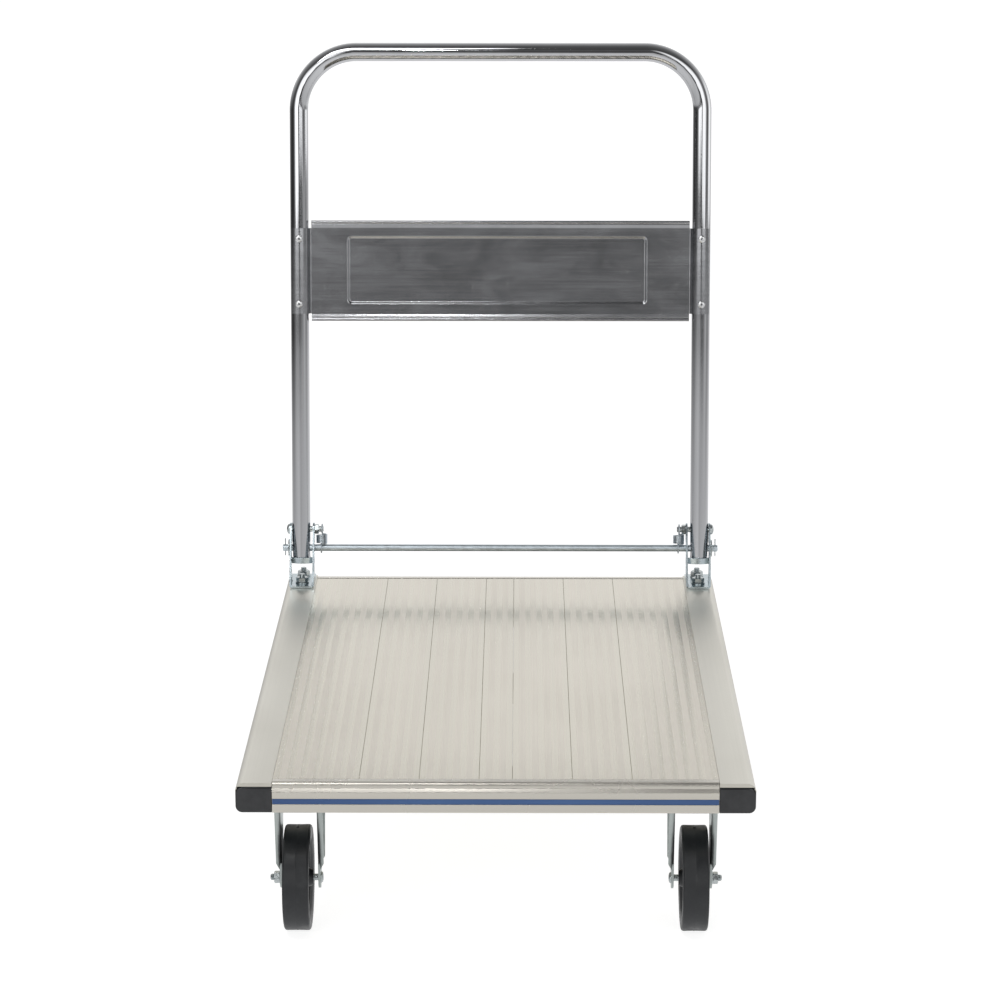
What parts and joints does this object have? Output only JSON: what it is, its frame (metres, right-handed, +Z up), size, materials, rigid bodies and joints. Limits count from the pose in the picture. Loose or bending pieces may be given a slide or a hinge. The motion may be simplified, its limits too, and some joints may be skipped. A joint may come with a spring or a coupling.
{
  "type": "folding platform cart",
  "caption": "Folding platform cart: aluminium plank deck on rigid and swivel casters, with a chromed U handle that folds flat onto the deck.",
  "frame": {"origin": "centre of the bottom face of the cart's box: on the floor, midway between the deck's front edge and the handle's rearmost point", "axes": "+X to the right seen from the front, +Y from the open front edge of the deck towards the handle, +Z up"},
  "size_m": [0.609, 0.9706, 0.9464],
  "materials": {
    "deck_aluminium": "extruded with alternating smooth and finely ribbed strips, satin anodised",
    "frame_aluminium": "extruded, satin anodised",
    "cap_plastic": "moulded, glossy black",
    "stripe_blue": "inlaid strip, satin blue",
    "zinc_plate": "pressed sheet, bluish zinc plating",
    "caster_zinc": "pressed sheet, dull zinc plating",
    "zinc_fastener": "zinc plated bolts and nuts",
    "black_rubber": "moulded solid rubber, satin, with a mould seam",
    "core_plastic": "moulded black plastic",
    "chrome_tube": "bright chrome plated tube",
    "panel_steel": "dark satin sheet steel with light scratches",
    "rivet_aluminium": "bright pop rivet",
    "rod_steel": "drawn bar, zinc plated",
    "spring_steel": "plated spring wire"
  },
  "bodies": {
    "deck": {"axle_bolt_front_left": "zinc_fastener", "axle_bolt_front_right": "zinc_fastener", "bracket_bolt_front_left": "zinc_fastener", "bracket_bolt_front_right": "zinc_fastener", "bracket_bolt_rear_left": "zinc_fastener", "bracket_bolt_rear_right": "zinc_fastener", "bracket_left": "zinc_plate", "bracket_right": "zinc_plate", "caster_fork_front_left": "caster_zinc", "caster_fork_front_right": "caster_zinc", "corner_cap_front_left": "cap_plastic", "corner_cap_front_right": "cap_plastic", "corner_cap_rear_left": "cap_plastic", "corner_cap_rear_right": "cap_plastic", "cross_member_front": "frame_aluminium", "cross_member_middle": "frame_aluminium", "cross_member_rear": "frame_aluminium", "deck_plank_1": "deck_aluminium", "deck_plank_2": "deck_aluminium", "deck_plank_3": "deck_aluminium", "deck_plank_4": "deck_aluminium", "deck_plank_5": "deck_aluminium", "deck_plank_6": "deck_aluminium", "deck_plank_7": "deck_aluminium", "front_profile": "frame_aluminium", "front_stripe": "stripe_blue", "king_pin_left": "caster_zinc", "king_pin_right": "caster_zinc", "pivot_bolt_left": "zinc_fastener", "pivot_bolt_right": "zinc_fastener", "rear_profile": "frame_aluminium", "side_rail_left": "frame_aluminium", "side_rail_right": "frame_aluminium", "stop_strap_left": "zinc_plate", "stop_strap_right": "zinc_plate", "swivel_plate_left": "caster_zinc", "swivel_plate_right": "caster_zinc"},
    "handle": {"handle_panel": "panel_steel", "handle_tube": "chrome_tube", "panel_rivet_lower_left": "rivet_aluminium", "panel_rivet_lower_right": "rivet_aluminium", "panel_rivet_upper_left": "rivet_aluminium", "panel_rivet_upper_right": "rivet_aluminium", "return_spring_left": "spring_steel", "return_spring_right": "spring_steel"},
    "release_rod": {"release_rod": "rod_steel", "rod_washer_left": "zinc_fastener", "rod_washer_right": "zinc_fastener"},
    "wheel_front_left": {"tyre_front_left": "black_rubber", "wheel_core_front_left": "core_plastic"},
    "wheel_front_right": {"tyre_front_right": "black_rubber", "wheel_core_front_right": "core_plastic"},
    "swivel_fork_left": {"axle_bolt_rear_left": "zinc_fastener", "caster_fork_rear_left": "caster_zinc"},
    "wheel_rear_left": {"tyre_rear_left": "black_rubber", "wheel_core_rear_left": "core_plastic"},
    "swivel_fork_right": {"axle_bolt_rear_right": "zinc_fastener", "caster_fork_rear_right": "caster_zinc"},
    "wheel_rear_right": {"tyre_rear_right": "black_rubber", "wheel_core_rear_right": "core_plastic"}
  },
  "joints": [
    {"name": "handle_fold", "type": "hinge", "parent": "deck", "child": "handle", "pos_m": [0, 0.38622, 0.277], "axis": [1, 0, 0], "range_deg": [0, 102.8]},
    {"name": "rod_release", "type": "slide", "parent": "handle", "child": "release_rod", "axis": [0, -0.1305, -0.9914], "range_m": [0, 0.009], "stiffness_N_per_m": 1500, "springref_m": -0.008, "deforming": ["return_spring_left", "return_spring_right"]},
    {"name": "wheel_front_left_spin", "type": "hinge", "parent": "deck", "child": "wheel_front_left", "pos_m": [-0.2331, -0.41828, 0.06226], "axis": [1, 0, 0], "continuous": true},
    {"name": "wheel_front_right_spin", "type": "hinge", "parent": "deck", "child": "wheel_front_right", "pos_m": [0.2331, -0.41828, 0.06226], "axis": [1, 0, 0], "continuous": true},
    {"name": "caster_left_swivel", "type": "hinge", "parent": "deck", "child": "swivel_fork_left", "pos_m": [-0.2302, 0.31472, 0.147], "axis": [0, 0, 1], "continuous": true},
    {"name": "wheel_rear_left_spin", "type": "hinge", "parent": "swivel_fork_left", "child": "wheel_rear_left", "pos_m": [-0.2331, 0.35072, 0.06226], "axis": [1, 0, 0], "continuous": true},
    {"name": "caster_right_swivel", "type": "hinge", "parent": "deck", "child": "swivel_fork_right", "pos_m": [0.2302, 0.31472, 0.147], "axis": [0, 0, 1], "continuous": true},
    {"name": "wheel_rear_right_spin", "type": "hinge", "parent": "swivel_fork_right", "child": "wheel_rear_right", "pos_m": [0.2331, 0.35072, 0.06226], "axis": [1, 0, 0], "continuous": true}
  ]
}
